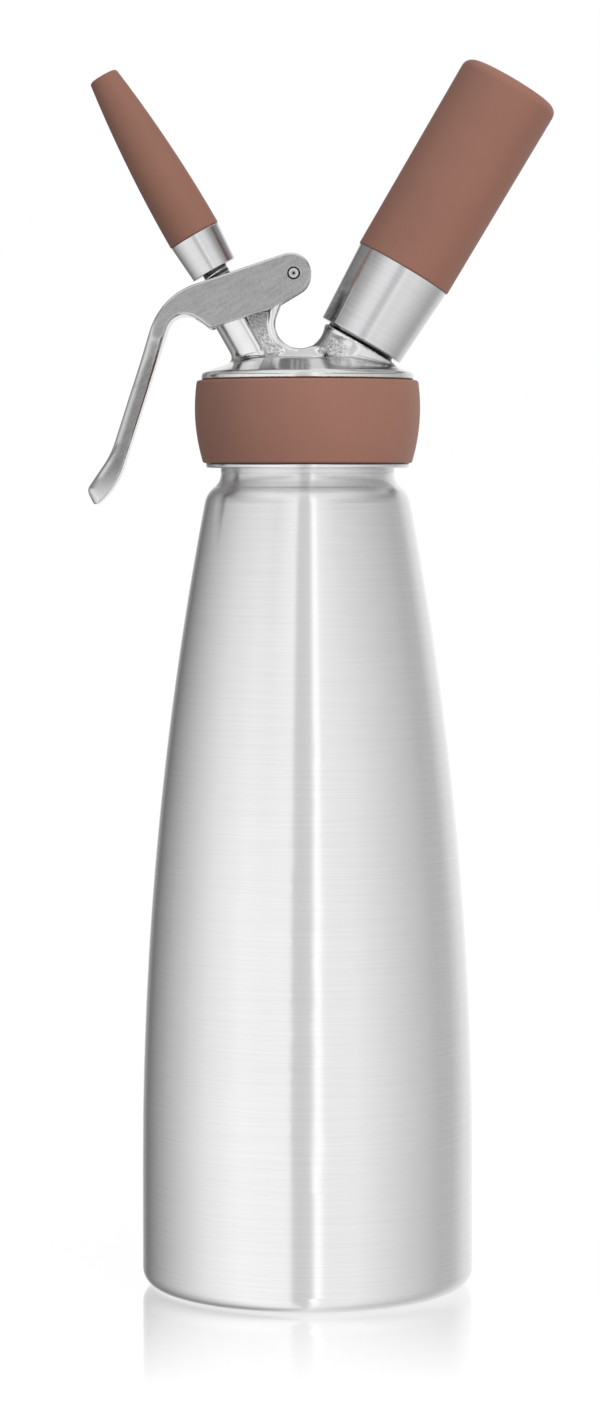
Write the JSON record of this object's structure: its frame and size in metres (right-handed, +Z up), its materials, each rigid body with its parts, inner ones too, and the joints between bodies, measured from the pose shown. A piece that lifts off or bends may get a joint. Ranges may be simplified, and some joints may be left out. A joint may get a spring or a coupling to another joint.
{
  "type": "whipped cream dispenser",
  "caption": "Tall steel bottle with a screwed head. A lever presses a spring valve, and gas from the charger in the leaning holder drives cream out of the leaning nozzle.",
  "frame": {"origin": "on the bottle's axis, in the plane of the foot ring it stands on", "axes": "+Z up along the bottle; the cream tip and the lever lean to -X, the charger holder leans to +X; the object is the same on both sides of Y = 0"},
  "size_m": [0.1366, 0.098, 0.3616],
  "materials": {
    "bottle_steel": "satin, fine brushing round the bottle",
    "polished_steel": "polished",
    "blasted_steel": "bead blasted with polished edges",
    "turned_steel": "turned",
    "charger_steel": "drawn and plated",
    "bush_brass": "turned",
    "brown_silicone": "matt silicone, warm brown",
    "brown_plastic": "matt, warm brown",
    "seal_rubber": "matt, dark grey"
  },
  "bodies": {
    "bottle": {"bottle_shell": "bottle_steel", "neck_ring": "polished_steel"},
    "gasket": {"head_gasket": "seal_rubber"},
    "head": {"head": "blasted_steel", "head_grip_ring": "brown_silicone", "lever_pin": "polished_steel", "valve_spring": "turned_steel", "piercing_pin": "turned_steel", "charger_seal": "seal_rubber", "pin_bush": "bush_brass", "check_valve": "seal_rubber"},
    "lever": {"lever": "blasted_steel"},
    "valve": {"valve_stem": "turned_steel", "valve_seal": "seal_rubber", "stem_oring": "seal_rubber", "valve_collar": "turned_steel", "collar_clip": "turned_steel"},
    "tip_ring": {"tip_seal": "seal_rubber"},
    "tip": {"tip_ferrule": "polished_steel", "tip_nozzle": "brown_plastic"},
    "charger": {"charger": "charger_steel"},
    "holder": {"holder_sleeve": "polished_steel", "holder_grip": "brown_silicone"}
  },
  "joints": [
    {"name": "head_rise", "type": "slide", "parent": "bottle", "child": "gasket", "axis": [0, 0, 1], "range_m": [0, 0.0101]},
    {"name": "head_turn", "type": "hinge", "parent": "gasket", "child": "head", "pos_m": [0, 0, 0.25296], "axis": [0, 0, 1], "range_deg": [0, 900]},
    {"name": "lever_pivot", "type": "hinge", "parent": "head", "child": "lever", "pos_m": [-0.00406, 0, 0.299], "axis": [0, -1, 0], "range_deg": [0, 10.5], "stiffness_Nm_per_rad": 2.35, "springref_deg": -4.81},
    {"name": "valve_stroke", "type": "slide", "parent": "head", "child": "valve", "axis": [0.5, 0, -0.866], "range_m": [0, 0.00372], "deforming": ["valve_spring"]},
    {"name": "tip_rise", "type": "slide", "parent": "valve", "child": "tip_ring", "axis": [-0.5, 0, 0.866], "range_m": [0, 0.00452]},
    {"name": "tip_turn", "type": "hinge", "parent": "tip_ring", "child": "tip", "pos_m": [0, 0, 0.25296], "axis": [-0.5, 0, 0.866], "range_deg": [0, 1080]},
    {"name": "holder_rise", "type": "slide", "parent": "head", "child": "charger", "axis": [0.5075, 0, 0.8616], "range_m": [0, 0.01202]},
    {"name": "holder_turn", "type": "hinge", "parent": "charger", "child": "holder", "pos_m": [0, 0, 0.25296], "axis": [0.5075, 0, 0.8616], "range_deg": [0, 2160]}
  ],
  "couplings": [
    {"joint": "head_rise", "follows": "head_turn", "m_per_rad": 0.00063662},
    {"joint": "valve_stroke", "follows": "lever_pivot", "m_per_rad": 0.0202},
    {"joint": "tip_rise", "follows": "tip_turn", "m_per_rad": 0.00023873},
    {"joint": "holder_rise", "follows": "holder_turn", "m_per_rad": 0.00031831}
  ]
}
